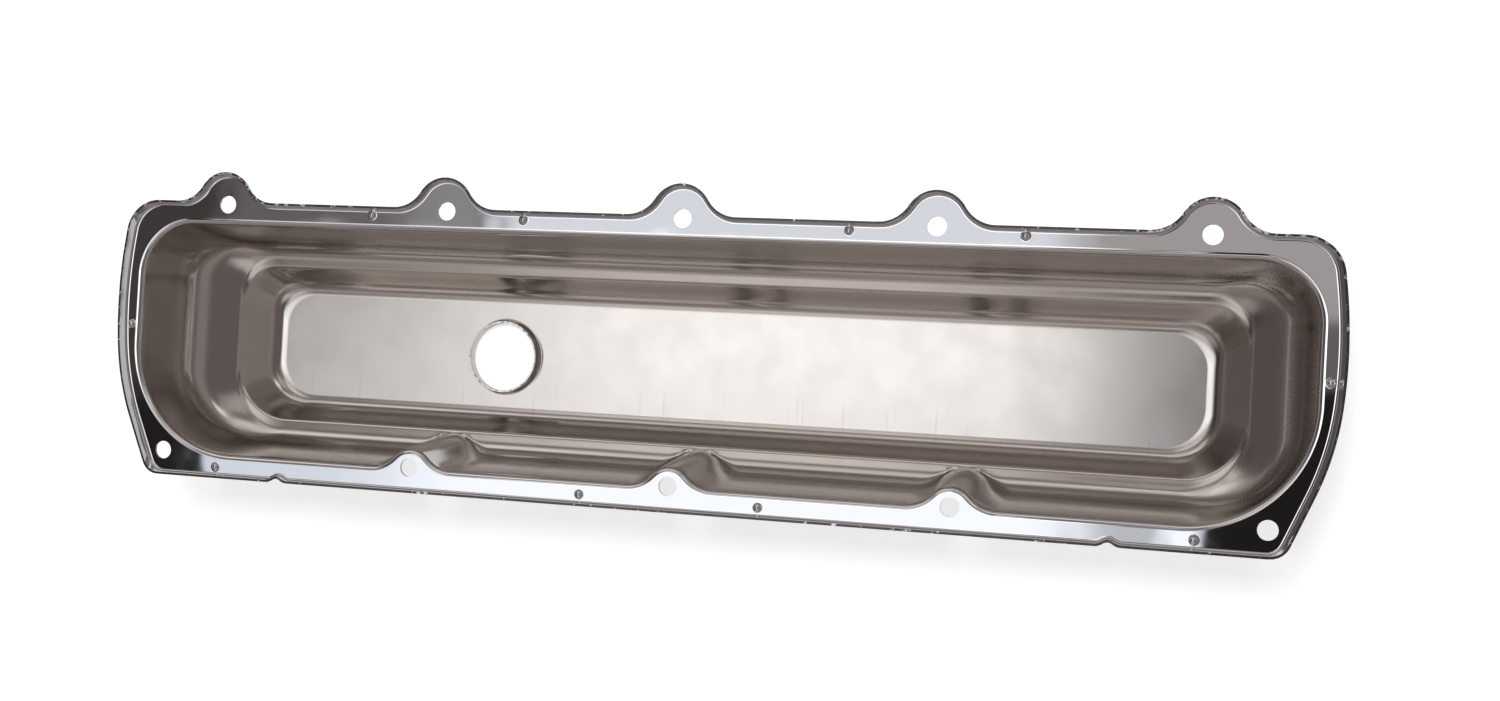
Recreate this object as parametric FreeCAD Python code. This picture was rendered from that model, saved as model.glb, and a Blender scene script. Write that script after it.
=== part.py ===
import FreeCAD, Part
import math
import os

Vec = FreeCAD.Vector

# Sheet and heights, in mm. The cover lies on the flat panel of its dome with the open side up,
# so z is 0 on the outside of the panel and the gasket face is near the top.
sheet = 1.0
panel_depth = 59.5              # gasket face down to the inside of the flat panel
shoulder_depth = 45.5           # gasket face down to the shoulder that runs round the panel
lip_height = 3.0                # turned edge above the gasket face

# Bolt pattern
bolt_hole = 7.9
bore_pitch = 117.475            # bolts in pockets on the lower side
pocket_count = 3
ear_count = 5                   # bolts in ears on the upper side
outer_ear_inset = 41.3          # outermost ears, from the ends of the cavity
corner_bolt_inset = 15.8        # bolts in the lower corners, from the ends of the cavity
ear_bolts_above_rim = 8.9       # upper row of bolts, outside the upper rim of the cavity
low_bolts_inside_rim = 0.3      # lower row of bolts, inside the line of the lower rim

# Flat part of the flange, inside the bend of the turned edge
edge_below_ear_bolts = 1.3      # straight upper edge, under the centres of the ear bolts
edge_below_low_bolts = 8.5      # lower edge, under the centres of the lower bolts
ear_height = 13.4
ear_tip_radius = 11.0
ear_blend_radius = 16.5
notch_span = 359.0              # two small notches in the lower edge
notch_depth = 1.8
notch_tip_radius = 5.0
notch_blend_radius = 3.0

# Ends of the flange: they bulge, then lean in towards the lower corners
end_flange_width = 7.6          # end of the cavity out to the corner point of the bulge
bulge_drop = 37.0               # upper edge down to the bulge
knee_drop = 79.0                # upper edge down to where the end turns in
top_corner_inset = 5.0
knee_inset = 3.3
low_corner_inset = 20.0
top_corner_radius = 13.5
bulge_radius = 210.0
knee_radius = 115.0
low_corner_radius = 6.0

# Turned edge
lip_bend_radius = 0.9
lip_lean = 0.35                 # outwards, over the height of the lip
lip_end_lean = 1.2              # more of the same at the ends

# Cavity at the gasket face
cavity_half_length = 254.3
cavity_half_width = 51.4
cavity_top_corner = 24.0
cavity_low_corner = 49.0
draw_radius = 2.4               # flange into wall
wall_draft = 7.2                # degrees

# Shoulder and raised panel. The ledge at the foot of the wall leans down to the step.
shoulder_radius = 9.0
shoulder_end_radius = 22.0
shoulder_top_corner = 17.0
shoulder_low_corner = 26.0
ledge_lean = 7.0                # degrees
ledge_end_lean = 28.0
crease_radius = 2.2
panel_slope = 63.0              # degrees, from the ledge down to the panel
panel_bend_radius = 7.5
panel_end_bend_radius = 14.5
panel_side_inset = 27.36        # rim of the cavity to the flat panel
panel_end_inset = 40.4
panel_corner = 13.0

# Pockets in the lower wall that clear the three bolts
pocket_reach = 8.3
pocket_tip_radius = 10.0
pocket_deep_radius = 15.0       # the same at the shoulder
pocket_blend_radius = 15.0
pocket_fade = 0.05              # least reach, below where a pocket runs out on the shoulder

# Filler hole with a collar drawn into the cavity
filler_bore = 31.0
filler_x = -100.3
filler_above_middle = -0.8
collar_height = 5.0
collar_bend_radius = 1.0

# Small domes on the gasket face that hold the gasket in place
dome_radius = 2.0
dome_rise = 1.2
dome_outer_x = 141.8
dome_inner_x = 70.8
dome_below_ear_bolts = 2.8
low_dome_outer_x = 211.5
low_dome_inner_x = 38.8
dome_below_low_bolts = 5.9
end_dome_inset = 3.3
end_dome_drop = 55.0

gasket_z = panel_depth + sheet
draft = math.radians(wall_draft)
slope = math.radians(panel_slope)
end_half_length = cavity_half_length + end_flange_width
ear_pitch = 2 * (cavity_half_length - outer_ear_inset) / (ear_count - 1)
corner_span = 2 * (cavity_half_length - corner_bolt_inset)
cavity_below_ear_bolts = cavity_half_width + ear_bolts_above_rim
row_gap = cavity_below_ear_bolts + cavity_half_width - low_bolts_inside_rim
ear_top = ear_height - edge_below_ear_bolts
low_edge = -row_gap - edge_below_low_bolts
ear_row_y = -(ear_top + low_edge) / 2
low_row_y = ear_row_y - row_gap
flange_top_y = ear_row_y - edge_below_ear_bolts
flange_low_y = ear_row_y + low_edge
cavity_y = ear_row_y - cavity_below_ear_bolts


def line(a, b):
    return Part.LineSegment(a, b).toShape()


def arc(a, middle, b):
    return Part.Arc(a, middle, b).toShape()


def positions(count, pitch):
    return [(i - (count - 1) / 2) * pitch for i in range(count)]


def round_corner(before, point, after, radius):
    """Start, middle and end of the arc that rounds a corner point."""
    back = (before - point).normalize()
    ahead = (after - point).normalize()
    half = back.getAngle(ahead) / 2
    reach = radius / math.tan(half)
    inward = (back + ahead).normalize()
    middle = point + inward * (radius / math.sin(half) - radius)
    return point + back * reach, middle, point + ahead * reach


def bump(x, y, rise, tip, blend, way):
    """Three arcs of a rounded bump on a straight edge that runs in the direction way along x."""
    turn = math.acos(1 - abs(rise) / (tip + blend))
    side = math.copysign(1, rise)

    def half_bump(sign):
        foot = Vec(x + sign * (tip + blend) * math.sin(turn), y, 0)
        half_turn = Vec(-sign * math.sin(turn / 2), side * (1 - math.cos(turn / 2)), 0)
        join = Vec(x + sign * tip * math.sin(turn), y + rise - side * tip * (1 - math.cos(turn)), 0)
        return foot, foot + half_turn * blend, join

    near = half_bump(-way)
    far = half_bump(way)
    return [near, (near[2], Vec(x, y + rise, 0), far[2]), far[::-1]]


def side_with_bumps(start, end, bumps):
    edges = []
    at = start
    for arcs in bumps:
        edges.append(line(at, arcs[0][0]))
        edges.extend(arc(*points) for points in arcs)
        at = arcs[-1][2]
    edges.append(line(at, end))
    return edges


def closed_outline(top_y, low_y, top_bumps, low_bumps, end_points, end_radii, z):
    """Closed wire: two long sides with bumps, the right end from corner points, the left its mirror."""
    chain = [Vec(0, top_y, 0)] + end_points + [Vec(0, low_y, 0)]
    arcs = [round_corner(*chain[i:i + 3], radius) for i, radius in enumerate(end_radii)]
    mirrored = [tuple(Vec(-p.x, p.y, 0) for p in points[::-1]) for points in arcs[::-1]]

    def end_edges(points):
        edges = [arc(*points[0])]
        for a, b in zip(points, points[1:]):
            edges += [line(a[2], b[0]), arc(*b)]
        return edges

    top = side_with_bumps(mirrored[-1][2], arcs[0][0], top_bumps)
    low = side_with_bumps(arcs[-1][2], mirrored[0][0], low_bumps)
    wire = Part.Wire(top + end_edges(arcs) + low + end_edges(mirrored))
    wire.translate(Vec(0, 0, z))
    return wire


def moved_outwards(points, distance):
    """Inner corner points of a chain, moved so that each straight stretch stays parallel to itself."""
    moved = []
    for a, b, c in zip(points, points[1:], points[2:]):
        first = (b - a).normalize()
        second = (c - b).normalize()
        out = Vec(-first.y - second.y, first.x + second.x, 0)
        moved.append(b + out * (distance / (1 + first.dot(second))))
    return moved


def flange_outline(offset, end_offset, z):
    """Outline of the flange with its ears and notches, moved outwards by the offset."""
    top = flange_top_y
    low = flange_low_y
    points = [
        Vec(0, top, 0),
        Vec(end_half_length - top_corner_inset, top, 0),
        Vec(end_half_length, top - bulge_drop, 0),
        Vec(end_half_length - knee_inset, top - knee_drop, 0),
        Vec(end_half_length - low_corner_inset, low, 0),
        Vec(0, low, 0),
    ]
    ends = [p + Vec(end_offset, 0, 0) for p in moved_outwards(points, offset)]
    radii = [r + offset for r in (top_corner_radius, bulge_radius, knee_radius, low_corner_radius)]
    top_bumps = [
        bump(x, top + offset, ear_height, ear_tip_radius + offset, ear_blend_radius - offset, 1)
        for x in positions(ear_count, ear_pitch)
    ]
    low_bumps = [
        bump(x, low - offset, notch_depth, notch_tip_radius - offset, notch_blend_radius + offset, -1)
        for x in positions(2, -notch_span)
    ]
    return closed_outline(top + offset, low - offset, top_bumps, low_bumps, ends, radii, z)


class Profile:
    """Section of the drawn shell from the flange to the panel, as a half-width for each depth.

    The skin is 0 for the side that faces the cavity and the sheet thickness for the back.
    """

    def __init__(self, rim, inset, lean, shoulder, bend):
        self.rim = rim
        self.flat = rim + draw_radius * math.tan((math.pi / 2 - draft) / 2)
        self.panel = rim - inset
        self.lean = math.radians(lean)
        self.shoulder = shoulder
        self.bend = bend
        drop = panel_depth - shoulder_depth - (crease_radius + bend) * (1 - math.cos(slope))
        self.brow = self.panel + (crease_radius + bend) * math.sin(slope) + drop / math.tan(slope)
        crease = self.brow - crease_radius * math.sin(self.lean)
        crease_depth = shoulder_depth + crease_radius * (1 - math.cos(self.lean))
        wall = self.wall(crease_depth - shoulder * math.cos(self.lean), -shoulder)
        gap = wall + shoulder * math.sin(self.lean) - crease
        ledge = gap / (math.cos(self.lean) - math.sin(self.lean) * math.tan(draft))
        self.hollow = crease + ledge * math.cos(self.lean) - shoulder * math.sin(self.lean)
        self.middle = crease_depth - ledge * math.sin(self.lean) - shoulder * math.cos(self.lean)

    def wall(self, depth, skin):
        return self.rim - depth * math.tan(draft) + skin / math.cos(draft)

    def upper(self, depth, skin):
        """Half-width from the flange down to the lower end of the shoulder radius."""
        if depth < draw_radius - (draw_radius - skin) * math.sin(draft):
            return self.flat - math.sqrt(max((draw_radius - skin) ** 2 - (draw_radius - depth) ** 2, 0))
        radius = self.shoulder + skin
        if depth < self.middle + radius * math.sin(draft):
            return self.wall(depth, skin)
        return self.hollow + math.sqrt(max(radius ** 2 - (depth - self.middle) ** 2, 0))

    def lower(self, depth, skin):
        """Half-width from the ledge down to the flat panel."""
        radius = crease_radius - skin
        above = shoulder_depth + crease_radius - depth

        def straight(angle):
            rise = above - radius * math.cos(angle)
            return self.brow - radius * math.sin(angle) + rise / math.tan(angle)

        if above > radius * math.cos(self.lean):
            return straight(self.lean)
        if above > radius * math.cos(slope):
            return self.brow - math.sqrt(max(radius ** 2 - above ** 2, 0))
        middle = panel_depth - self.bend
        if depth < middle + (self.bend + skin) * math.cos(slope):
            return straight(slope)
        return self.panel + math.sqrt(max((self.bend + skin) ** 2 - (depth - middle) ** 2, 0))

    def half(self, depth, skin):
        if depth < self.middle + (self.shoulder + skin) * math.cos(self.lean):
            return self.upper(depth, skin)
        return self.lower(depth, skin)

    def shoulder_depths(self, skin, count):
        """Depths down the shoulder radius, at even angles."""
        return arc_depths(self.middle, self.shoulder + skin, math.pi / 2 - draft, self.lean, count)


side_bends = (ledge_lean, shoulder_radius, panel_bend_radius)
end_bends = (ledge_end_lean, shoulder_end_radius, panel_end_bend_radius)
side_profile = Profile(cavity_half_width, panel_side_inset, *side_bends)
end_profile = Profile(cavity_half_length, panel_end_inset, *end_bends)


def ring_outline(half_length, half_width, top_corner, low_corner, pockets, z):
    ends = [Vec(half_length, cavity_y + half_width, 0), Vec(half_length, cavity_y - half_width, 0)]
    sides = (cavity_y + half_width, cavity_y - half_width)
    return closed_outline(*sides, [], pockets, ends, [top_corner, low_corner], z)


def between(a, b, share):
    return a + (b - a) * min(max(share, 0), 1)


def bowl_outline(depth, skin):
    """Outline of the drawn shell at one depth, with the three pockets in its lower side."""
    half_width = side_profile.half(depth, skin)
    wall = side_profile.wall(depth, skin)
    flare = max(half_width - wall, 0)
    share = depth / shoulder_depth
    step = (depth - shoulder_depth) / (panel_depth - shoulder_depth)
    reach = max(half_width - wall + pocket_reach, pocket_fade)
    tip = between(pocket_tip_radius, pocket_deep_radius, share) - skin - flare
    blend = pocket_blend_radius + skin + flare
    low_y = cavity_y - half_width
    reach = min(reach, pocket_reach)
    pockets = [bump(x, low_y, reach, tip, blend, -1) for x in positions(pocket_count, -bore_pitch)]
    top_corner = between(between(cavity_top_corner, shoulder_top_corner, share), panel_corner, step)
    low_corner = between(between(cavity_low_corner, shoulder_low_corner, share), panel_corner, step)
    corners = [top_corner + skin + flare, low_corner + skin + flare]
    return ring_outline(end_profile.half(depth, skin), half_width, *corners, pockets, gasket_z - depth)


def arc_depths(middle, radius, start, end, count):
    """Depths along an arc of the section, at even angles from the vertical."""
    return [middle + radius * math.cos(start + (end - start) * i / count) for i in range(count + 1)]


def strip(wires, ruled):
    return Part.makeLoft(wires, False, ruled).Faces


def ring(outer, inner):
    return Part.makeFace([outer, inner], "Part::FaceMakerBullseye").Faces


def lip_wires(skin):
    """Outlines of the turned edge, from the flat of the flange up to its cut edge."""
    radius = lip_bend_radius + skin
    wires = []
    for i in range(4):
        angle = math.pi / 2 * i / 3
        height = lip_bend_radius - radius * math.cos(angle)
        lean = lip_end_lean * (height + skin) / (lip_height + skin)
        wires.append(flange_outline(radius * math.sin(angle), lean, gasket_z + height))
    top = flange_outline(radius + lip_lean, lip_end_lean, gasket_z + lip_height)
    return wires, top


def skin_faces(skin):
    """All faces of one side of the sheet, and the wire at the cut edge."""
    bend, top = lip_wires(skin)
    right_angle = math.pi / 2
    draw = arc_depths(draw_radius, skin - draw_radius, 0, right_angle - draft, 3)
    shoulder = end_profile.shoulder_depths(skin, 5) + side_profile.shoulder_depths(skin, 5)
    crease_middle = shoulder_depth + crease_radius
    crease = arc_depths(crease_middle, skin - crease_radius, side_profile.lean, slope, 5)
    foot = arc_depths(panel_depth - end_profile.bend, end_profile.bend + skin, slope, 0, 4)
    foot += arc_depths(panel_depth - side_profile.bend, side_profile.bend + skin, slope, 0, 3)[:-1]
    draw_wires = [bowl_outline(d, skin) for d in draw]
    shoulder_wires = [bowl_outline(d, skin) for d in sorted(shoulder)]
    crease_wires = [bowl_outline(d, skin) for d in crease]
    foot_wires = [bowl_outline(d, skin) for d in sorted(foot)]
    faces = strip([top, bend[-1]], True) + strip(bend[::-1], False)
    faces += ring(bend[0], draw_wires[0])
    faces += strip(draw_wires, False)
    faces += strip([draw_wires[-1], shoulder_wires[0]], True)
    faces += strip(shoulder_wires, False)
    faces += strip([shoulder_wires[-1], crease_wires[0]], True)
    faces += strip(crease_wires, False)
    faces += strip([crease_wires[-1], foot_wires[0]], True)
    faces += strip(foot_wires, False)
    faces.append(Part.Face(foot_wires[-1]))
    return faces, top


def drawn_sheet():
    """The pressed sheet before its holes: front skin, back skin and the cut edge between them."""
    front, front_top = skin_faces(0)
    back, back_top = skin_faces(sheet)
    shell = Part.makeShell(front + back + ring(back_top, front_top))
    shell.sewShape()
    solid = Part.makeSolid(shell)
    if solid.Volume < 0:
        solid.reverse()
    return solid


def upright(radius, height, x, y, z):
    return Part.makeCylinder(radius, height, Vec(x, y, z))


def bolt_places():
    places = [(x, ear_row_y) for x in positions(ear_count, ear_pitch)]
    places += [(x, low_row_y) for x in positions(pocket_count, bore_pitch)]
    places += [(x, low_row_y) for x in positions(2, corner_span)]
    return places


def dome_places():
    places = [(x, ear_row_y - dome_below_ear_bolts) for x in positions(2, 2 * dome_outer_x)]
    places += [(x, ear_row_y - dome_below_ear_bolts) for x in positions(2, 2 * dome_inner_x)]
    places += [(x, low_row_y - dome_below_low_bolts) for x in positions(2, 2 * low_dome_outer_x)]
    places += [(x, low_row_y - dome_below_low_bolts) for x in positions(2, 2 * low_dome_inner_x)]
    end_x = end_half_length - end_dome_inset
    places += [(x, ear_row_y - end_dome_drop) for x in positions(2, 2 * end_x)]
    return places


def add_domes(solid):
    """Pressed domes: a ball cap on the gasket face and a dent behind it."""
    middle_z = gasket_z + dome_rise - dome_radius
    caps = [Part.makeSphere(dome_radius, Vec(x, y, middle_z)) for x, y in dome_places()]
    dent_radius = dome_radius - 0.7 * sheet
    dents = [Part.makeSphere(dent_radius, Vec(x, y, middle_z)) for x, y in dome_places()]
    reach = 2 * dome_radius
    for i, (x, y) in enumerate(dome_places()):
        corner = Vec(x - reach, y - reach, gasket_z - sheet - reach)
        below = Part.makeBox(2 * reach, 2 * reach, reach, corner)
        caps[i] = caps[i].cut(below)
    return solid.fuse(caps).cut(dents)


def collar():
    """Turned ring round the filler hole: a bend up from the panel and a straight neck."""
    inside = filler_bore / 2
    outside = inside + sheet
    bend = collar_bend_radius
    back = bend + sheet
    top = sheet + collar_height
    root = math.sqrt(0.5)
    foot = outside + bend
    points = [Vec(foot, 0, 0), Vec(inside, 0, back), Vec(inside, 0, top), Vec(outside, 0, top)]
    edges = [
        arc(points[0], Vec(foot - back * root, 0, back - back * root), points[1]),
        line(points[1], points[2]),
        line(points[2], points[3]),
        line(points[3], Vec(outside, 0, back)),
        arc(Vec(outside, 0, back), Vec(foot - bend * root, 0, back - bend * root), Vec(foot, 0, sheet)),
        line(Vec(foot, 0, sheet), points[0]),
    ]
    return Part.Face(Part.Wire(edges)).revolve(Vec(0, 0, 0), Vec(0, 0, 1), 360)


def add_filler(solid):
    x = filler_x
    y = cavity_y + filler_above_middle
    foot = filler_bore / 2 + sheet + collar_bend_radius
    neck = collar()
    neck.translate(Vec(x, y, 0))
    return solid.cut(upright(foot, 3 * sheet, x, y, -sheet)).fuse(neck)


def valve_cover():
    solid = drawn_sheet()
    solid = add_domes(solid)
    holes = [upright(bolt_hole / 2, 4 * sheet, x, y, gasket_z - 3 * sheet) for x, y in bolt_places()]
    solid = solid.cut(holes)
    solid = add_filler(solid)
    return solid.removeSplitter()


os.makedirs("parts", exist_ok=True)
cover = valve_cover()
box = cover.BoundBox
print("valve_cover", cover.ShapeType, len(cover.Solids), "valid", cover.isValid())
size = [round(length, 2) for length in (box.XLength, box.YLength, box.ZLength)]
print("size", *size, "volume", round(cover.Volume))
cover.exportStep("parts/valve_cover.step")
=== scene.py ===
import math

import bmesh
import bpy
import numpy as np
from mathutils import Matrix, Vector
from mathutils.geometry import delaunay_2d_cdt


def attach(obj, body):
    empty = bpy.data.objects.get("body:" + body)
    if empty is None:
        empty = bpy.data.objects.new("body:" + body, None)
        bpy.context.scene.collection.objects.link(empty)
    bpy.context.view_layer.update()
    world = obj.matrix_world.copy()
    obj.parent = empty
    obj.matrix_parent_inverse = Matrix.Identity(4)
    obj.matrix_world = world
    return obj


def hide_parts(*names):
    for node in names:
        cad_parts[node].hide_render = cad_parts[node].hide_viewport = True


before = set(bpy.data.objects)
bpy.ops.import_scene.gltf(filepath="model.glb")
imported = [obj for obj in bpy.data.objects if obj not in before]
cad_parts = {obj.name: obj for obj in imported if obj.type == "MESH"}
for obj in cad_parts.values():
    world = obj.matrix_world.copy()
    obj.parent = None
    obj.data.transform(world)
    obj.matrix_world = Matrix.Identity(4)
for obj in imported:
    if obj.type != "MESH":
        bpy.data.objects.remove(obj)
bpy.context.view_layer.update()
print("frame loaded")

# The pressing in millimetres. It lies on the flat panel of its dome, open side up.
cover = {
    "sheet": 1.0,
    "panelDepth": 59.5,        # gasket face down to the inside of the flat panel
    "shoulderDepth": 45.5,
    "cavityY": -6.4,
    "cavityHalfLength": 254.3,
    "cavityHalfWidth": 51.4,
    "cavityTopCorner": 24.0,
    "cavityLowCorner": 49.0,
    "drawRadius": 2.4,         # flange into wall
    "wallDraft": 7.2,          # degrees
    "shoulderTopCorner": 17.0,
    "shoulderLowCorner": 26.0,
    "panelTopCorner": 15.0,
    "panelLowCorner": 17.0,
    # the section over the long sides and over the ends
    "side": {
        "panel": 24.04, "bend": 7.5, "slope": 63.0, "crease": 2.2,
        "depth": 45.5, "tilt": 6.0, "shoulder": 9.0,
    },
    "end": {
        "panel": 213.9, "bend": 10.0, "slope": 50.0, "crease": 4.0,
        "depth": 43.5, "tilt": 28.0, "shoulder": 22.0,
    },
}
gasketZ = cover["panelDepth"] + cover["sheet"]
draft = math.radians(cover["wallDraft"])

flange = {
    "topY": 52.6,
    "lowY": -66.0,
    "earPitch": 106.5,
    "earHeight": 13.4,
    "earTip": 11.0,
    "earBlend": 16.5,
    "notchSpan": 359.0,
    "notchDepth": 1.8,
    "notchTip": 5.0,
    "notchBlend": 3.0,
    "endPoints": [(256.9, 52.6), (261.9, 15.6), (258.6, -26.4), (241.9, -66.0)],
    "endRadii": [13.5, 210.0, 115.0, 6.0],
    "lipBend": 0.9,
    "lipHeight": 3.0,
    "lipLean": 0.35,
    "lipEndLean": 1.2,
    "cutEdgeWander": 0.10,     # the sheared edge isn't dead level
    "wanderWaves": (3, 7, 11, 19, 37, 61, 88, 130, 171),
    "wanderSeed": 5,
    "faceInset": 0.25,         # where the flat gasket face starts
    "mouthInset": 0.3,         # and how far from the draw radius it ends
}

pockets = {
    "pitch": 117.475,
    "reach": 8.3,
    "tip": 10.0,
    "deepTip": 15.0,
    "blend": 15.0,
    "fade": 0.05,
}

boltHoles = {
    "radius": 3.95,
    "earRowY": 53.9,
    "lowRowY": -57.5,
    "cornerX": 238.5,
    "columns": 48,
}

gasketDomes = {
    "radius": 2.0,
    "rise": 1.2,
    "foot": 0.10,
    "lift": 3.2,               # points farther away than this stay flat
    "backRadius": 0.7,         # shares of the sheet that the back loses
    "backRise": 0.15,
    # radius and number of points of each ring
    "rings": [
        (0, 1), (0.45, 8), (0.85, 16), (1.2, 20), (1.45, 24),
        (1.65, 24), (1.82, 24), (2.0, 24), (2.3, 24), (2.8, 16),
    ],
}

filler = {
    "x": -100.3,
    "y": -7.2,
    "radius": 15.5,
    "height": 5.0,
    "bend": 1.0,
    "rimWander": 0.16,         # rough sheared rim
    "rimWaves": (2, 5, 9, 14, 23, 31, 40, 47),
    "rimSeed": 11,
    "columns": 110,
    "margin": 0.4,             # flat ring round the foot
    "splitAngle": 84.0,        # degrees, a small split in the neck
    "splitDepth": 3.2,
    "splitWidth": 0.4,
}

# Rays from this rounded core cut every outline, so all rows of the mesh have the same columns.
core = {
    "x": 200.0,
    "topY": 4.65,
    "lowY": -17.45,
    "domePitch": 0.5,
    "finePitch": 1.2,
    "coarsePitch": 3.0,
}

# the dense outline that the columns are read off
outline = {"endPitch": 0.8, "sidePoints": 1200}

mirror, satin, sheared = 0, 1, 2

# rows of the mesh on the open side, and fewer of them on the back
frontDetail = {
    "finish": satin, "lipSteps": 6, "bendSteps": 8, "leastGap": 0.16, "facePitch": 5.0,
}
backDetail = {
    "finish": mirror, "lipSteps": 4, "bendSteps": 4, "leastGap": 0.4, "facePitch": 12.0,
}
greatestGap = 3.2
drawSteps = 6
brightRows = 5                 # rows of the draw radius that still have the bright plate
panelInsets = (0.4, 2.0)
panelPitch = {"front": 9.0, "back": 12.0}


def sectionOf(rim, shape):
    # places and angles of the bends: half-widths outwards, depths down from the gasket face
    section = dict(shape, rim=rim)
    tilt = section["tilt"] = math.radians(shape["tilt"])
    slope = section["slope"] = math.radians(shape["slope"])
    crease, bend, shoulder = shape["crease"], shape["bend"], shape["shoulder"]
    drop = cover["panelDepth"] - shape["depth"] - (crease + bend) * (1 - math.cos(slope))
    brow = shape["panel"] + (crease + bend) * math.sin(slope) + drop / math.tan(slope)
    startX = brow - crease * math.sin(tilt)
    startZ = shape["depth"] + crease * (1 - math.cos(tilt))
    wall = rim - (startZ - shoulder * math.cos(tilt)) * math.tan(draft) - shoulder / math.cos(draft)
    run = math.cos(tilt) - math.sin(tilt) * math.tan(draft)
    ledge = (wall + shoulder * math.sin(tilt) - startX) / run
    section["flat"] = rim + cover["drawRadius"] * math.tan((math.pi / 2 - draft) / 2)
    section["brow"] = brow
    section["hollow"] = startX + ledge * math.cos(tilt) - shoulder * math.sin(tilt)
    section["hollowZ"] = startZ - ledge * math.sin(tilt) - shoulder * math.cos(tilt)
    return section


def wallReach(section, depth, skin):
    return section["rim"] - depth * math.tan(draft) + skin / math.cos(draft)


def reach(section, depth, skin):
    # half-width of one skin at a depth
    draw = cover["drawRadius"]
    if depth < draw - (draw - skin) * math.sin(draft):
        return section["flat"] - math.sqrt(max((draw - skin) ** 2 - (draw - depth) ** 2, 0))
    shoulder = section["shoulder"] + skin
    below = depth - section["hollowZ"]
    if below < shoulder * math.sin(draft):
        return wallReach(section, depth, skin)
    tilt, slope = section["tilt"], section["slope"]
    if below < shoulder * math.cos(tilt):
        return section["hollow"] + math.sqrt(max(shoulder**2 - below**2, 0))
    crease = section["crease"] - skin
    above = section["depth"] + section["crease"] - depth
    if above > crease * math.cos(tilt):
        ledge = (above - crease * math.cos(tilt)) / math.tan(tilt)
        return section["brow"] - crease * math.sin(tilt) + ledge
    if above > crease * math.cos(slope):
        return section["brow"] - math.sqrt(max(crease**2 - above**2, 0))
    bend = section["bend"] + skin
    below = depth - (cover["panelDepth"] - section["bend"])
    if below < bend * math.cos(slope):
        step = (crease * math.cos(slope) - above) / math.tan(slope)
        return section["brow"] - crease * math.sin(slope) - step
    return section["panel"] + math.sqrt(max(bend**2 - below**2, 0))


sideSection = sectionOf(cover["cavityHalfWidth"], cover["side"])
endSection = sectionOf(cover["cavityHalfLength"], cover["end"])


def bumpHeight(distance, rise, tip, blend):
    # height of a rounded bump on a straight edge, at these distances from its middle
    turn = math.acos(1 - abs(rise) / (tip + blend))
    foot = (tip + blend) * math.sin(turn)
    away = np.abs(distance)
    top = abs(rise) - tip + np.sqrt(np.maximum(tip**2 - away**2, 0))
    side = blend - np.sqrt(np.maximum(blend**2 - (foot - away) ** 2, 0))
    height = np.where(away < tip * math.sin(turn), top, np.where(away < foot, side, 0))
    return math.copysign(1, rise) * height


def cornerArc(before, point, after, radius, steps=48):
    back = (before - point).normalized()
    ahead = (after - point).normalized()
    half = back.angle(ahead) / 2
    centre = point + (back + ahead).normalized() * (radius / math.sin(half))
    start = point + back * (radius / math.tan(half)) - centre
    end = point + ahead * (radius / math.tan(half)) - centre
    sweep = math.pi - 2 * half
    shares = [i / steps for i in range(steps + 1)]
    return [
        centre + start * (math.sin((1 - t) * sweep) / math.sin(sweep))
        + end * (math.sin(t * sweep) / math.sin(sweep))
        for t in shares
    ]


def divided(points, pitch):
    # the same line with extra points on its long straight runs
    runs = []
    for a, b in zip(points, points[1:]):
        count = max(1, int(np.hypot(*(b - a)) / pitch))
        runs.append(a + (b - a) * (np.arange(count) / count)[:, None])
    return np.vstack(runs + [points[-1:]])


def halfOutline(topY, lowY, topBumps, lowBumps, endPoints, endRadii):
    # right half of an outline, a dense line from the middle of the upper side to the lower one's
    chain = [Vector((0, topY))] + [Vector(p) for p in endPoints] + [Vector((0, lowY))]
    ends = []
    for i, radius in enumerate(endRadii):
        ends += cornerArc(*chain[i:i + 3], radius)
    ends = divided(np.array(ends), outline["endPitch"])
    topX = np.linspace(0, ends[0, 0], outline["sidePoints"])[:-1]
    lowX = np.linspace(ends[-1, 0], 0, outline["sidePoints"])[1:]
    top = topY + sum((bumpHeight(topX - x, *b) for x, *b in topBumps), np.zeros(len(topX)))
    low = lowY + sum((bumpHeight(lowX - x, *b) for x, *b in lowBumps), np.zeros(len(lowX)))
    return np.vstack([np.c_[topX, top], ends, np.c_[lowX, low]])


def spread(fineSpans, domes, limit):
    # places from 0 to the limit, closer together inside the fine spans and over the domes
    span = gasketDomes["radius"]
    places = [0.0]
    while places[-1] < limit:
        here = places[-1]
        pitch = core["coarsePitch"]
        if any(a <= here <= b for a, b in fineSpans):
            pitch = core["finePitch"]
        for x in domes:
            if x - span <= here < x + span:
                pitch = core["domePitch"]
            elif here < x - span:
                pitch = min(pitch, x - span - here)
        places.append(here + pitch)
    places[-1] = limit
    return np.array(places)


earSpan = 24
topPlaces = spread(
    [(i * flange["earPitch"] - earSpan, i * flange["earPitch"] + earSpan) for i in range(3)],
    [70.8, 141.8],
    core["x"],
)
notchX = flange["notchSpan"] / 2
lowPlaces = spread(
    [(-1, 19), (pockets["pitch"] - 20, pockets["pitch"] + 20), (notchX - 7, notchX + 7)],
    [38.8],
    core["x"],
)
# directions round the corners, closer together where the wide lower corners need it
topFan = np.radians(np.linspace(90, 0, 84))[1:-1]
lowTurns = [np.linspace(0, -72, 46), np.linspace(-73, -79, 13), np.linspace(-80.5, -90, 7)]
lowFan = np.radians(np.concatenate(lowTurns))[1:-1]
endPlaces = np.r_[core["topY"], 3.4, np.linspace(2.2, -3.8, 13), np.linspace(-5.2, core["lowY"], 8)]


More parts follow.
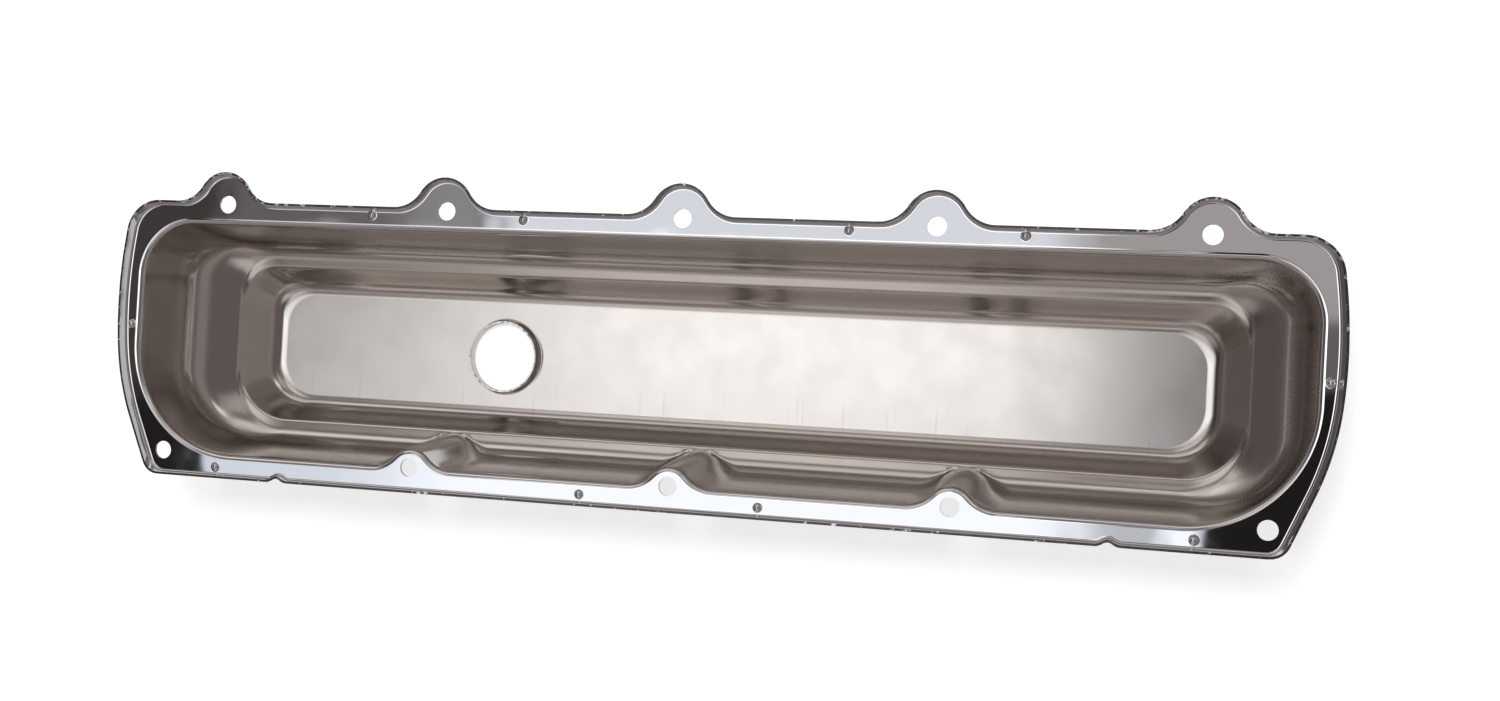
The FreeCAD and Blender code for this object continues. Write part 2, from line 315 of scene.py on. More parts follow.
def columnsOf(line):
    # closed loop of column points read off the dense right half of an outline,
    # whose parts are taken with a little overlap
    x, y = line[:, 0], line[:, 1]
    middle = (core["topY"] + core["lowY"]) / 2
    upper = line[(y > middle) & (x < core["x"] + 3)]
    lower = line[(y < middle) & (x < core["x"] + 3)][::-1]

    def fan(centreY, angles, chosen):
        part = line[chosen]
        turn = np.arctan2(part[:, 1] - centreY, part[:, 0] - core["x"])
        distance = np.hypot(part[:, 1] - centreY, part[:, 0] - core["x"])
        order = np.argsort(turn)
        radius = np.interp(angles, turn[order], distance[order])
        return np.c_[core["x"] + radius * np.cos(angles), centreY + radius * np.sin(angles)]

    top = np.c_[topPlaces, np.interp(topPlaces, upper[:, 0], upper[:, 1])]
    topEnd = fan(core["topY"], topFan, (x > core["x"] - 4) & (y > core["topY"] - 4))
    side = line[(x > core["x"] - 4) & (y < core["topY"] + 9) & (y > core["lowY"] - 9)][::-1]
    end = np.c_[np.interp(endPlaces, side[:, 1], side[:, 0]), endPlaces]
    lowEnd = fan(core["lowY"], lowFan, (x > core["x"] - 4) & (y < core["lowY"] + 4))
    low = np.c_[lowPlaces, np.interp(lowPlaces, lower[:, 0], lower[:, 1])][::-1]
    right = np.vstack([top, topEnd, end, lowEnd, low])
    left = right[1:-1][::-1] * [-1, 1]
    return np.vstack([right, left])


def flangeLoop(offset, endOffset):
    chain = [Vector((0, flange["topY"]))] + [Vector(p) for p in flange["endPoints"]]
    chain.append(Vector((0, flange["lowY"])))
    moved = []
    for a, b, c in zip(chain, chain[1:], chain[2:]):
        first = (b - a).normalized()
        second = (c - b).normalized()
        out = Vector((-first.y - second.y, first.x + second.x))
        moved.append(b + out * (offset / (1 + first.dot(second))) + Vector((endOffset, 0)))
    earTip, earBlend = flange["earTip"] + offset, flange["earBlend"] - offset
    ears = [(i * flange["earPitch"], flange["earHeight"], earTip, earBlend) for i in range(3)]
    notchTip, notchBlend = flange["notchTip"] - offset, flange["notchBlend"] + offset
    notches = [(notchX, flange["notchDepth"], notchTip, notchBlend)]
    radii = [r + offset for r in flange["endRadii"]]
    topY, lowY = flange["topY"] + offset, flange["lowY"] - offset
    return columnsOf(halfOutline(topY, lowY, ears, notches, moved, radii))


def ringLoop(halfLength, halfWidth, topCorner, lowCorner, lowBumps=()):
    topY = cover["cavityY"] + halfWidth
    lowY = cover["cavityY"] - halfWidth
    ends = [(halfLength, topY), (halfLength, lowY)]
    return columnsOf(halfOutline(topY, lowY, [], lowBumps, ends, [topCorner, lowCorner]))


def between(a, b, share):
    return a + (b - a) * min(max(share, 0), 1)


def wallLoop(depth, skin, widen=0.0):
    # the wall at one depth, with the pockets in its lower side
    halfWidth = reach(sideSection, depth, skin)
    wall = wallReach(sideSection, depth, skin)
    flare = max(halfWidth - wall, 0)
    share = depth / cover["shoulderDepth"]
    rise = min(max(halfWidth - wall + pockets["reach"], pockets["fade"]), pockets["reach"])
    tip = between(pockets["tip"], pockets["deepTip"], share) - skin - flare - widen
    blend = pockets["blend"] + skin + flare + widen
    bumps = [(x, rise, tip, blend) for x in (0, pockets["pitch"])]
    topCorner = between(cover["cavityTopCorner"], cover["shoulderTopCorner"], share)
    topCorner = topCorner + skin + flare + widen
    lowCorner = between(cover["cavityLowCorner"], cover["shoulderLowCorner"], share)
    lowCorner = lowCorner + skin + flare + widen
    halfLength = reach(endSection, depth, skin) + widen
    return ringLoop(halfLength, halfWidth + widen, topCorner, lowCorner, bumps)


def panelLoop(depth, skin, inset=0.0):
    # the step between the shoulder and the panel at one depth
    panel, brow = sideSection["panel"], sideSection["brow"]
    share = (brow - reach(sideSection, depth, skin)) / (brow - panel)
    topCorner = between(cover["shoulderTopCorner"], cover["panelTopCorner"], share) + skin - inset
    lowCorner = between(cover["shoulderLowCorner"], cover["panelLowCorner"], share) + skin - inset
    halfLength = reach(endSection, depth, skin) - inset
    halfWidth = reach(sideSection, depth, skin) - inset
    return ringLoop(halfLength, halfWidth, topCorner, lowCorner)


def bowlDepths(start, skin, detail):
    # depths of the rows from the draw radius to the panel, close together at the bends
    places = [start, cover["panelDepth"] + skin]
    steps = detail["bendSteps"]
    for section in (sideSection, endSection):
        crease, bend = section["crease"], section["bend"]
        tilt, slope = section["tilt"], section["slope"]
        shoulder = section["shoulder"] + skin
        places += arcDepths(section["hollowZ"], shoulder, math.pi / 2 - draft, tilt, steps)
        places += arcDepths(section["depth"] + crease, skin - crease, tilt, slope, steps // 2 + 1)
        places += arcDepths(cover["panelDepth"] - bend, bend + skin, slope, 0.1, steps)
    places = sorted(places)
    kept = [places[0]]
    for depth in places[1:-1]:
        last = kept[-1]
        gap = depth - last
        if gap > greatestGap:
            extra = int(gap / greatestGap)
            kept += [last + gap * i / (extra + 1) for i in range(1, extra + 1)]
        if depth - kept[-1] > detail["leastGap"]:
            kept.append(depth)
    return kept[1:] + [places[-1]]


def bowlLoop(depth, skin):
    # the wall with its pockets down to the crease of the long sides, and below it the step
    tilt, crease = sideSection["tilt"], sideSection["crease"]
    if depth < cover["shoulderDepth"] + (1 - math.cos(tilt)) * crease + skin * math.cos(tilt):
        return wallLoop(depth, skin)
    return panelLoop(depth, skin)


def arcDepths(middle, radius, start, end, count):
    return [middle + radius * math.cos(start + (end - start) * i / count) for i in range(count + 1)]


class SheetMesh:
    # collects rows of points and the faces between them

    def __init__(self):
        self.points = []
        self.faces = []
        self.finishes = []

    def row(self, flat, z):
        start = len(self.points)
        heights = np.broadcast_to(z, len(flat))
        self.points += [(float(x), float(y), float(h)) for (x, y), h in zip(flat, heights)]
        return list(range(start, len(self.points)))

    def join(self, a, b, finish):
        count = len(a)
        for i in range(count):
            j = (i + 1) % count
            self.faces.append((a[i], a[j], b[j], b[i]))
            self.finishes.append(finish)

    def raiseDomes(self, start, skin):
        # lifts the points of one skin that lie under the small domes
        flatZ = gasketZ - skin
        points = np.array(self.points[start:])
        for x, y in domeSpots:
            away = np.hypot(points[:, 0] - x, points[:, 1] - y)
            near = (away < gasketDomes["lift"]) & (points[:, 2] > flatZ - 0.5)
            height = flatZ + domeHeight(away, skin)
            points[near, 2] = np.maximum(points[near, 2], height[near])
        self.points[start:] = [tuple(p) for p in points.tolist()]

    def fill(self, loops, z, finish, pitch, seeds=None):
        # flat faces between the first loop and the others, with points of a loose grid inside
        flatLoops = [np.array([self.points[i][:2] for i in loop]) for loop in loops]
        known = [i for loop in loops for i in loop]
        edges = []
        at = 0
        for loop in loops:
            edges += [(at + i, at + (i + 1) % len(loop)) for i in range(len(loop))]
            at += len(loop)
        lowest, highest = flatLoops[0].min(0), flatLoops[0].max(0)
        gridX, gridY = np.meshgrid(
            np.arange(lowest[0], highest[0], pitch), np.arange(lowest[1], highest[1], pitch)
        )
        grid = np.c_[gridX.ravel(), gridY.ravel()]
        edgePoints = np.vstack(flatLoops)
        extra = np.empty((0, 2))
        if seeds is not None:
            extra = clearOf(seeds[insideLoops(seeds, flatLoops)], edgePoints, 0.12)
        taken = np.vstack([edgePoints, extra])
        grid = clearOf(grid[insideLoops(grid, flatLoops)], taken, 0.45 * pitch)
        flat = np.vstack([edgePoints, extra, grid])
        found = delaunay_2d_cdt([Vector(p) for p in flat], edges, [], 0, 1e-5)
        made, triangles, source = found[0], found[2], found[3]
        new = {}
        corners = np.array([tuple(p) for p in made])
        centres = np.array([corners[list(f)].mean(0) for f in triangles])
        keep = insideLoops(centres, flatLoops)
        for face, wanted in zip(triangles, keep):
            if not wanted:
                continue
            indices = []
            for v in face:
                if v not in new:
                    old = source[v][0] if source[v] else -1
                    if 0 <= old < len(known):
                        new[v] = known[old]
                    else:
                        new[v] = len(self.points)
                        self.points.append((float(made[v][0]), float(made[v][1]), z))
                indices.append(new[v])
            self.faces.append(tuple(indices))
            self.finishes.append(finish)


def clearOf(points, others, distance):
    # the points that are farther than this from all the others
    far = [np.min(np.hypot(*(others - p).T)) > distance for p in points]
    return points[np.array(far, bool)]


def insideLoops(points, loops):
    # true for the points inside an odd number of loops
    inside = np.zeros(len(points), bool)
    if not len(points):
        return inside
    x, y = points[:, 0][:, None], points[:, 1][:, None]
    for loop in loops:
        ax, ay = loop[:, 0], loop[:, 1]
        bx, by = np.roll(ax, -1), np.roll(ay, -1)
        spans = (ay > y) != (by > y)
        with np.errstate(divide="ignore", invalid="ignore"):
            cross = (bx - ax) * (y - ay) / (by - ay) + ax
        inside ^= (np.sum(spans & (x < cross), axis=1) % 2).astype(bool)
    return inside


def circle(x, y, radius, count, phase=0.0):
    angles = phase + np.arange(count) * (2 * math.pi / count)
    return np.c_[x + radius * np.cos(angles), y + radius * np.sin(angles)]


def boltPlaces():
    places = [(i * flange["earPitch"], boltHoles["earRowY"]) for i in range(-2, 3)]
    places += [(i * pockets["pitch"], boltHoles["lowRowY"]) for i in range(-1, 2)]
    return places + [(side * boltHoles["cornerX"], boltHoles["lowRowY"]) for side in (-1, 1)]


domeSpots = [
    (141.8, 51.1), (-141.8, 51.1), (70.8, 51.1), (-70.8, 51.1),
    (211.5, -63.4), (-211.5, -63.4), (38.8, -63.4), (-38.8, -63.4),
    (258.6, -0.6), (-258.6, -1.6),
]


def smoothNoise(count, waves, seed):
    # a closed wavy row of numbers between about -1 and 1
    rng = np.random.default_rng(seed)
    at = np.arange(count) / count * 2 * math.pi
    total = sum(
        rng.normal() * np.sin(at * k + rng.uniform(0, 6.3)) for k in waves
    )
    return total / max(np.abs(total).max(), 1e-9)


def addSkin(mesh, skin, detail):
    # one side of the sheet. Returns its rows at the cut edge, in the holes and round the panel
    finish = detail["finish"]
    right = math.pi / 2
    bend = flange["lipBend"] + skin
    rows = []
    lip = flange["lipHeight"]
    top = flangeLoop(bend + flange["lipLean"], flange["lipEndLean"])
    waves = smoothNoise(len(top), flange["wanderWaves"], flange["wanderSeed"])
    wander = flange["cutEdgeWander"] * waves
    cut = mesh.row(top, gasketZ + lip - flange["cutEdgeWander"] + wander)
    rows.append(cut)
    steps = detail["lipSteps"]
    for i in range(steps, -1, -1):
        angle = right * i / steps
        height = flange["lipBend"] - bend * math.cos(angle)
        lean = flange["lipEndLean"] * (height + skin) / (lip + skin)
        rows.append(mesh.row(flangeLoop(bend * math.sin(angle), lean), gasketZ + height))
    for a, b in zip(rows, rows[1:]):
        mesh.join(a, b, mirror)
    flatZ = gasketZ - skin
    outer = mesh.row(flangeLoop(-flange["faceInset"], 0), flatZ)
    mesh.join(rows[-1], outer, mirror)
    inner = mesh.row(wallLoop(skin, skin, flange["mouthInset"]), flatZ)
    loops = [outer, inner]
    holes = []
    for x, y in boltPlaces():
        holes.append(mesh.row(circle(x, y, boltHoles["radius"], boltHoles["columns"]), flatZ))
    loops += holes
    seeds = np.vstack([domeSeeds(x, y) for x, y in domeSpots])
    mesh.fill(loops, flatZ, mirror, detail["facePitch"], seeds)
    mesh.raiseDomes(cut[0], skin)
    draw = cover["drawRadius"]
    drawn = arcDepths(draw, skin - draw, 0, right - draft, drawSteps)
    last = inner
    for i, depth in enumerate(drawn):
        line = mesh.row(wallLoop(depth, skin), gasketZ - depth)
        mesh.join(last, line, mirror if i < brightRows else finish)
        last = line
    for depth in bowlDepths(drawn[-1], skin, detail):
        line = mesh.row(bowlLoop(depth, skin), gasketZ - depth)
        mesh.join(last, line, finish)
        last = line
    floorZ = cover["sheet"] - skin
    for inset in panelInsets:
        line = mesh.row(panelLoop(cover["panelDepth"] + skin, skin, inset), floorZ)
        mesh.join(last, line, finish)
        last = line
    return cut, holes, last


def domeSeeds(x, y):
    # points under one small dome, each ring turned a little against the last
    return np.vstack([circle(x, y, r, count, 0.3 * r) for r, count in gasketDomes["rings"]])


def domeHeight(distance, skin):
    # a ball cap that runs out softly at its foot
    radius = gasketDomes["radius"] - gasketDomes["backRadius"] * skin
    middle = gasketDomes["rise"] - gasketDomes["backRise"] * skin - radius
    beyond = np.maximum(distance - radius, 0)
    cap = middle + np.sqrt(np.maximum(radius**2 - distance**2, 0)) - 3 * beyond
    foot = gasketDomes["foot"]
    return np.maximum((cap + np.sqrt(cap**2 + foot**2)) / 2 - foot / 3, 0)


def addCollar(mesh):
    # neck of the filler hole, turned up into the cavity, with a rough rim and a split
    count = filler["columns"]
    # the first column is the bottom of the split, and its neighbours stand close beside it
    close = filler["splitWidth"] / 2 / filler["radius"]
    rest = np.linspace(close, 2 * math.pi - close, count - 1)
    angles = math.radians(filler["splitAngle"]) + np.r_[0.0, rest]
    inside = filler["radius"]
    sheet = cover["sheet"]
    outside = inside + sheet
    bend = filler["bend"]
    back = bend + sheet
    top = sheet + filler["height"]
    foot = outside + bend
    wander = filler["rimWander"] * smoothNoise(count, filler["rimWaves"], filler["rimSeed"])
    drop = np.zeros(count)
    drop[0] = filler["splitDepth"]

    def ring(radius, z, share):
        # share is 0 at the foot and 1 at the rim
        heights = z + share * (wander - filler["rimWander"]) - share * drop
        flat = np.c_[filler["x"] + radius * np.cos(angles), filler["y"] + radius * np.sin(angles)]
        return mesh.row(flat, np.maximum(heights, min(z, 0.9)))

    wide = foot + filler["margin"]
    outer = [ring(wide, sheet, 0), ring(foot, sheet, 0)]
    for i in range(1, 5):
        turn = math.pi / 2 * i / 4
        outer.append(ring(foot - bend * math.sin(turn), sheet + bend - bend * math.cos(turn), 0))
    outer += [ring(outside, sheet + bend + 1.6, 0.35), ring(outside, top - 0.22, 1)]
    outer.append(ring(outside - 0.15, top, 1))
    rim = ring(inside + 0.2, top, 1)
    inner = [rim, ring(inside, top - 0.25, 1)]
    inner += [ring(inside, back + 1.5, 0.35), ring(inside, back, 0)]
    for i in range(1, 6):
        turn = math.pi / 2 * i / 5
        inner.append(ring(inside + back - back * math.cos(turn), back - back * math.sin(turn), 0))
    inner.append(ring(wide, 0.0, 0))
    for a, b in zip(outer, outer[1:]):
        mesh.join(a, b, satin)
    mesh.join(outer[-1], rim, satin)
    for a, b in zip(inner, inner[1:]):
        mesh.join(a, b, satin)
    return outer[0], inner[-1]


def buildCover():
    mesh = SheetMesh()
    frontCut, frontHoles, frontPanel = addSkin(mesh, 0, frontDetail)
    backCut, backHoles, backPanel = addSkin(mesh, cover["sheet"], backDetail)
    mesh.join(frontCut, backCut, sheared)
    for a, b in zip(frontHoles, backHoles):
        mesh.join(a, b, mirror)
    frontFoot, backFoot = addCollar(mesh)
    mesh.fill([frontPanel, frontFoot], cover["sheet"], satin, panelPitch["front"])
    mesh.fill([backPanel, backFoot], 0.0, mirror, panelPitch["back"])
    data = bpy.data.meshes.new("valveCover")
    data.from_pydata([(x / 1000, y / 1000, z / 1000) for x, y, z in mesh.points], [], mesh.faces)
    data.polygons.foreach_set("material_index", mesh.finishes)
    work = bmesh.new()
    work.from_mesh(data)
    bmesh.ops.recalc_face_normals(work, faces=work.faces)
    openEdges = sum(1 for e in work.edges if len(e.link_faces) != 2)
    work.to_mesh(data)
    work.free()
    data.polygons.foreach_set("use_smooth", [True] * len(data.polygons))
    data.set_sharp_from_angle(angle=math.radians(40))
    piece = bpy.data.objects.new("valveCover", data)
    bpy.context.scene.collection.objects.link(piece)
    triangles = sum(len(f) - 2 for f in mesh.faces)
    print("cover mesh", len(mesh.points), "points", triangles, "triangles", openEdges, "open edges")
    return piece


coverPiece = buildCover()


def addNode(tree, kind, inputs, output, **settings):
    # one node. Each input is a number, a colour or the output of another node
    node = tree.nodes.new(kind)
    for name, value in settings.items():
        setattr(node, name, value)
    for key, value in inputs.items():
        if isinstance(value, bpy.types.NodeSocket):
            tree.links.new(value, node.inputs[key])
        else:
            node.inputs[key].default_value = value
    return node.outputs[output]


def maths(tree, operation, a, b=0.0):
    return addNode(tree, "ShaderNodeMath", {0: a, 1: b}, 0, operation=operation)


def ranged(tree, value, source, target=(0.0, 1.0), curve="LINEAR"):
    # carries a value from one range to another and holds it at both ends
    inputs = {"Value": value, "From Min": source[0], "From Max": source[1]}
    inputs.update({"To Min": target[0], "To Max": target[1]})
    return addNode(tree, "ShaderNodeMapRange", inputs, "Result", interpolation_type=curve)


def noise(tree, place, texture):
    inputs = {"Vector": place, "Scale": texture[0], "Detail": texture[1]}
    return addNode(tree, "ShaderNodeTexNoise", inputs, "Fac")


def mixed(tree, share, a, b):
    inputs = {"Factor": share, "A": a, "B": b}
    return addNode(tree, "ShaderNodeMix", inputs, "Result", data_type="RGBA")


def roughen(tree, shader, height, strength, distance):
    inputs = {"Height": height, "Strength": strength, "Distance": distance}
    normal = addNode(tree, "ShaderNodeBump", inputs, "Normal")
    tree.links.new(normal, shader.inputs["Normal"])


def separated(tree, place):
    parts = tree.nodes.new("ShaderNodeSeparateXYZ")
    tree.links.new(place, parts.inputs[0])
    return parts.outputs["X"], parts.outputs["Y"], parts.outputs["Z"]


def newMetal(name):
    material = bpy.data.materials.new(name)
    material.use_nodes = True
    tree = material.node_tree
    shader = tree.nodes["Principled BSDF"]
    shader.inputs["Metallic"].default_value = 1.0
    place = addNode(tree, "ShaderNodeTexCoord", {}, "Object")
    return material, tree, shader, place


# In the looks, a texture has its scale and detail, and places are in metres.


def brightChrome():
    look = {
        "colour": (0.78, 0.785, 0.80, 1),
        "haze": (90.0, 6.0),
        "hazeSpan": (0.35, 0.75),
        "roughness": (0.018, 0.0432),
        "wave": (26.0, 2.0),
        "waveStrength": 0.15,
        "waveDistance": 0.001,
    }
    material, tree, shader, place = newMetal("brightChrome")
    shader.inputs["Base Color"].default_value = look["colour"]
    haze = noise(tree, place, look["haze"])
    rough = ranged(tree, haze, look["hazeSpan"], look["roughness"])
    tree.links.new(rough, shader.inputs["Roughness"])
    wave = noise(tree, place, look["wave"])
    roughen(tree, shader, wave, look["waveStrength"], look["waveDistance"])
    return material


def satinInside():
    look = {
        "colour": (0.67, 0.642, 0.617, 1),
        "haze": (60.0, 5.0),
        "hazeSpan": (0.3, 0.7),
        "roughness": (0.153, 0.1955),
        # drawing marks on the flat panel, most of them along its lower side
        "stain": (0.33, 0.31, 0.29, 1),
        "stretch": (520.0, 26.0, 26.0),
        "marks": (1.0, 3.0),
        "markSpan": (0.62, 0.78),
        "markShare": (0.0, 0.3),
        "lowSide": (-0.016, -0.029),
        "lowShare": (0.12, 1.0),
        "flatHeights": (0.0045, 0.0025),
        # the drawn sheet isn't quite even away from the panel
        "swell": (17.0, 1.5),
        "swellHeights": (0.002, 0.010),
        "swellStrength": (0.02, 0.22),
        "swellDistance": 0.002,
    }
    material, tree, shader, place = newMetal("satinInside")
    _, across, up = separated(tree, place)
    haze = noise(tree, place, look["haze"])
    rough = ranged(tree, haze, look["hazeSpan"], look["roughness"])
    tree.links.new(rough, shader.inputs["Roughness"])
    inputs = {0: place, 1: look["stretch"]}
    stretched = addNode(tree, "ShaderNodeVectorMath", inputs, 0, operation="MULTIPLY")
    marks = noise(tree, stretched, look["marks"])
    share = ranged(tree, marks, look["markSpan"], look["markShare"])
    share = maths(tree, "MULTIPLY", share, ranged(tree, across, look["lowSide"], look["lowShare"]))
    share = maths(tree, "MULTIPLY", share, ranged(tree, up, look["flatHeights"]))
    colour = mixed(tree, share, look["colour"], look["stain"])
    tree.links.new(colour, shader.inputs["Base Color"])
    swell = noise(tree, place, look["swell"])
    strength = ranged(tree, up, look["swellHeights"], look["swellStrength"])
    roughen(tree, shader, swell, strength, look["swellDistance"])
    return material


def shearedEdge():
    look = {
        # torn grain in its bumps, a dark colour all along, and bright specks painted on as painted
        # glints
        "dark": (0.10, 0.10, 0.105, 1),
        "light": (0.86, 0.87, 0.89, 1),
        "roughness": 0.28,
        "grain": (420.0, 3.0),
        "grainStrength": 0.5,
        "grainDistance": 0.0003,
        # the painted glints are frequent on the upper side towards the ends, where the edge catches
        # the light, and rare elsewhere
        "ends": (0.13, 0.19),
        "upperSide": (0.0, 0.05),
        "limit": (0.66, 0.54),
        "glintSpan": (-0.02, 0.05),
    }
    material, tree, shader, place = newMetal("shearedEdge")
    shader.inputs["Roughness"].default_value = look["roughness"]
    along, across, _ = separated(tree, place)
    grain = noise(tree, place, look["grain"])
    nearEnds = ranged(tree, maths(tree, "ABSOLUTE", along), look["ends"])
    onUpperSide = ranged(tree, across, look["upperSide"])
    frequent = maths(tree, "MULTIPLY", nearEnds, onUpperSide)
    limit = ranged(tree, frequent, (0.0, 1.0), look["limit"])
    # painted glints: bright specks where the grain rises above the limit
    paintedGlint = ranged(tree, maths(tree, "SUBTRACT", grain, limit), look["glintSpan"])
    colour = mixed(tree, paintedGlint, look["dark"], look["light"])
    tree.links.new(colour, shader.inputs["Base Color"])
    roughen(tree, shader, grain, look["grainStrength"], look["grainDistance"])
    return material


coverPiece.data.materials.append(brightChrome())
coverPiece.data.materials.append(satinInside())
coverPiece.data.materials.append(shearedEdge())
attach(coverPiece, "root")
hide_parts("valve_cover")
print("finishes set")


def addFloor():
    look = {
        "size": 6.0,
        "drop": 0.0004,
        "colour": (0.9, 0.9, 0.9, 1),      # what the reflections and the light meet
        "lit": (0.42, 0.42, 0.42, 1),      # what the camera sees, with its own light
        "ownLight": 0.72,
    }
    half = look["size"] / 2
    data = bpy.data.meshes.new("floor")
    corners = [(-half, -half, 0), (half, -half, 0), (half, half, 0), (-half, half, 0)]
    data.from_pydata(corners, [], [(0, 1, 2, 3)])
    floor = bpy.data.objects.new("floor", data)
    floor.location = (0, 0, -look["drop"])
    bpy.context.scene.collection.objects.link(floor)
    material = bpy.data.materials.new("paleFloor")
    material.use_nodes = True
    tree = material.node_tree
    tree.nodes.clear()
    matte = addNode(tree, "ShaderNodeBsdfDiffuse", {"Color": look["lit"]}, 0)
    glow = addNode(tree, "ShaderNodeEmission", {"Strength": look["ownLight"]}, 0)
    both = addNode(tree, "ShaderNodeAddShader", {0: matte, 1: glow}, 0)
    plain = addNode(tree, "ShaderNodeBsdfDiffuse", {"Color": look["colour"]}, 0)
    seen = addNode(tree, "ShaderNodeLightPath", {}, "Is Camera Ray")
    surface = addNode(tree, "ShaderNodeMixShader", {"Fac": seen, 1: plain, 2: both}, 0)
    out = tree.nodes.new("ShaderNodeOutputMaterial")
    tree.links.new(surface, out.inputs["Surface"])
    data.materials.append(material)


addFloor()


def addStudio():
    # a studio in the world: soft bright panels overhead in a dim warm room
    # a direction is given by its slopes, x / z and y / z, and each edge by its slope and softness
    look = {
        "overhead": (0.152, 0.129, 0.126, 1),
        # the room, its skirt and the horizon: colour, and the heights between which it fades in
        "bands": [
            ((0.275, 0.235, 0.228, 1), (0.80, 0.55)),
            ((0.165, 0.143, 0.138, 1), (0.36, 0.28)),
            ((0.55, 0.55, 0.55, 1), (0.17, 0.08)),
        ],
        "lowest": 0.04,        # slopes grow no further below this height
        "backdrop": (0.98, 0.98, 0.98, 1),
        # colour, left, right, low and high edge
        "panels": [
            # over the flange and the flat panel
            ((1.05, 1.10, 1.17), (-0.50, 0.06), (0.003, 0.004), (-0.16, 0.02), (-0.045, 0.015)),
            ((0.66, 0.73, 0.80), (-0.635, 0.008), (-0.50, 0.06), (-0.16, 0.02), (-0.045, 0.015)),
            ((0.66, 0.66, 0.66), (-0.63, 0.02), (-0.052, 0.028), (-0.045, 0.015), (0.075, 0.012)),
            ((1.00, 1.00, 0.99), (-0.43, 0.12), (-0.056, 0.030), (-0.022, 0.030), (0.075, 0.012)),
            ((0.14, 0.15, 0.16), (-0.505, 0.04), (-0.44, 0.012), (0.075, 0.012), (0.16, 0.02)),
            ((0.68, 0.72, 0.77), (-0.435, 0.012), (-0.075, 0.02), (0.075, 0.012), (0.16, 0.02)),
            ((0.27, 0.26, 0.25), (-0.075, 0.02), (0.10, 0.03), (0.05, 0.012), (0.16, 0.02)),
            # the two side boxes that draw the lines along the ledge
            ((0.18, 0.18, 0.18), (-0.60, 0.05), (-0.46, 0.05), (0.20, 0.03), (0.44, 0.05)),
            ((0.74, 0.70, 0.64), (-0.46, 0.05), (-0.10, 0.03), (0.20, 0.03), (0.44, 0.05)),
            ((0.16, 0.16, 0.16), (-0.60, 0.05), (-0.46, 0.05), (-0.44, 0.05), (-0.20, 0.03)),
            ((0.62, 0.58, 0.53), (-0.44, 0.06), (-0.10, 0.03), (-0.44, 0.05), (-0.20, 0.03)),
            # low on both sides, for the walls and the steps
            ((0.34, 0.33, 0.33), (-0.05, 0.06), (0.40, 0.10), (0.30, 0.05), (0.62, 0.05)),
            ((0.50, 0.48, 0.48), (-0.05, 0.06), (0.28, 0.08), (-0.66, 0.06), (-0.36, 0.05)),
            ((0.22, 0.205, 0.20), (-0.70, 0.05), (-0.12, 0.08), (0.62, 0.10), (1.80, 0.40)),
            ((0.14, 0.135, 0.13), (-0.42, 0.08), (-0.12, 0.08), (0.55, 0.10), (0.90, 0.05)),
            ((0.30, 0.29, 0.28), (-1.20, 0.30), (0.50, 0.30), (0.88, 0.04), (1.80, 0.40)),
            ((0.40, 0.39, 0.37), (-1.20, 0.30), (-0.62, 0.04), (0.88, 0.04), (1.80, 0.40)),
            ((0.34, 0.33, 0.31), (-0.14, 0.05), (0.25, 0.10), (0.88, 0.04), (1.30, 0.20)),
            ((0.85, 0.80, 0.75), (-1.00, 0.06), (-0.71, 0.02), (0.60, 0.05), (0.80, 0.03)),
            ((0.95, 0.90, 0.83), (0.36, 0.05), (0.85, 0.10), (0.68, 0.03), (1.00, 0.10)),
            ((0.24, 0.22, 0.21), (-1.00, 0.10), (-0.04, 0.08), (-0.78, 0.04), (-0.40, 0.06)),
            ((0.11, 0.095, 0.075), (-0.38, 0.08), (0.20, 0.20), (-1.80, 0.40), (-0.74, 0.04)),
        ],
        # amount, and the same edges: a dimmer place in the first panel
        "dip": (0.5, (-0.065, 0.025), (-0.014, 0.010), (-0.16, 0.02), (-0.045, 0.015)),
        # the same, behind the panels: the camera's dark stand, and the dark to the left
        "shades": [
            (0.90, (0.001, 0.004), (0.14, 0.03), (-0.40, 0.10), (0.0145, 0.003)),
            (0.62, (-1.10, 0.15), (-0.63, 0.02), (-0.30, 0.10), (0.30, 0.10)),
            (0.70, (-0.90, 0.15), (-0.63, 0.02), (-0.30, 0.10), (-0.03, 0.01)),
            (0.55, (-3.00, 0.50), (-0.84, 0.10), (-0.90, 0.20), (0.90, 0.20)),
        ],
    }
    world = bpy.data.worlds.new("studio")
    bpy.context.scene.world = world
    world.use_nodes = True
    tree = world.node_tree
    x, y, up = separated(tree, addNode(tree, "ShaderNodeTexCoord", {}, "Generated"))
    height = maths(tree, "MAXIMUM", up, look["lowest"])
    slopes = {"x": maths(tree, "DIVIDE", x, height), "y": maths(tree, "DIVIDE", y, height)}
    made = {}

    def strip(axis, start, end):
        # 1 between the two edges, 0 outside. Panels that share their edges share these nodes
        for edge in (start, end):
            if (axis, edge) not in made:
                span = (edge[0] - edge[1], edge[0] + edge[1])
                made[axis, edge] = ranged(tree, slopes[axis], span, curve="SMOOTHSTEP")
        if (axis, start, end) not in made:
            made[axis, start, end] = maths(tree, "SUBTRACT", made[axis, start], made[axis, end])
        return made[axis, start, end]

    def window(left, right, low, high):
        return maths(tree, "MULTIPLY", strip("x", left, right), strip("y", low, high))

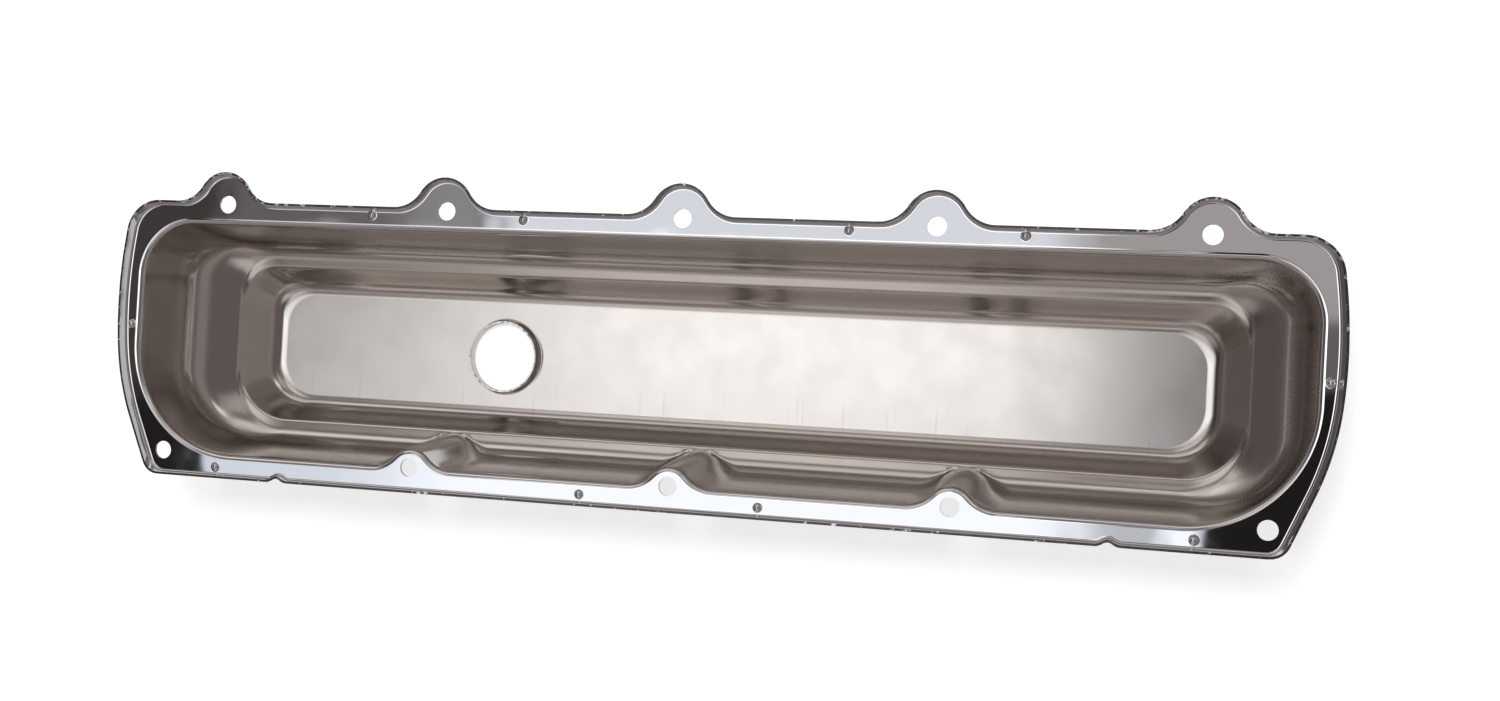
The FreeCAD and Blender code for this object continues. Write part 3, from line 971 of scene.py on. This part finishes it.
    def scaled(colour, factor):
        inputs = {0: colour, "Scale": factor}
        return addNode(tree, "ShaderNodeVectorMath", inputs, 0, operation="SCALE")

    def dimmed(colour, amount, *edges):
        share = maths(tree, "MULTIPLY", amount, window(*edges))
        return scaled(colour, maths(tree, "SUBTRACT", 1.0, share))

    total = look["overhead"]
    for colour, heights in look["bands"]:
        total = mixed(tree, ranged(tree, up, heights, curve="SMOOTHSTEP"), total, colour)
    for shade in look["shades"]:
        total = dimmed(total, *shade)
    for colour, *edges in look["panels"]:
        inputs = {0: total, 1: scaled(colour, window(*edges))}
        total = addNode(tree, "ShaderNodeVectorMath", inputs, 0, operation="ADD")
    total = dimmed(total, *look["dip"])
    seen = addNode(tree, "ShaderNodeLightPath", {}, "Is Camera Ray")
    shown = mixed(tree, seen, total, look["backdrop"])
    tree.links.new(shown, tree.nodes["Background"].inputs["Color"])


addStudio()


def addShadowLamp():
    # lights the floor alone, so that the cover's shadow falls a little below its lower edge
    look = {"place": (0.10, 0.32, 1.3), "tilt": -12.0, "size": 0.35, "watts": 12.0}
    lamp = bpy.data.lights.new("shadowLamp", "AREA")
    lamp.shape = "DISK"
    lamp.size = look["size"]
    lamp.energy = look["watts"]
    holder = bpy.data.objects.new("shadowLamp", lamp)
    holder.location = look["place"]
    holder.rotation_euler = (math.radians(look["tilt"]), 0, 0)
    holder.visible_camera = False
    holder.visible_glossy = False
    bpy.context.scene.collection.objects.link(holder)


addShadowLamp()


def addCamera():
    # looks down on the open side, from over the right half
    look = {
        "place": (0.21105, -0.01041, 0.73448),
        "turn": (1.737342, 14.798617, 3.265276),   # degrees
        "lens": 40.8,
        "sensor": 36,
    }
    data = bpy.data.cameras.new("camera")
    data.sensor_width = look["sensor"]
    data.lens = look["lens"]
    camera = bpy.data.objects.new("camera", data)
    camera.location = look["place"]
    camera.rotation_euler = [math.radians(a) for a in look["turn"]]
    bpy.context.scene.collection.objects.link(camera)
    bpy.context.scene.camera = camera


addCamera()
bpy.context.scene.view_settings.view_transform = "Standard"

print("scene ready")
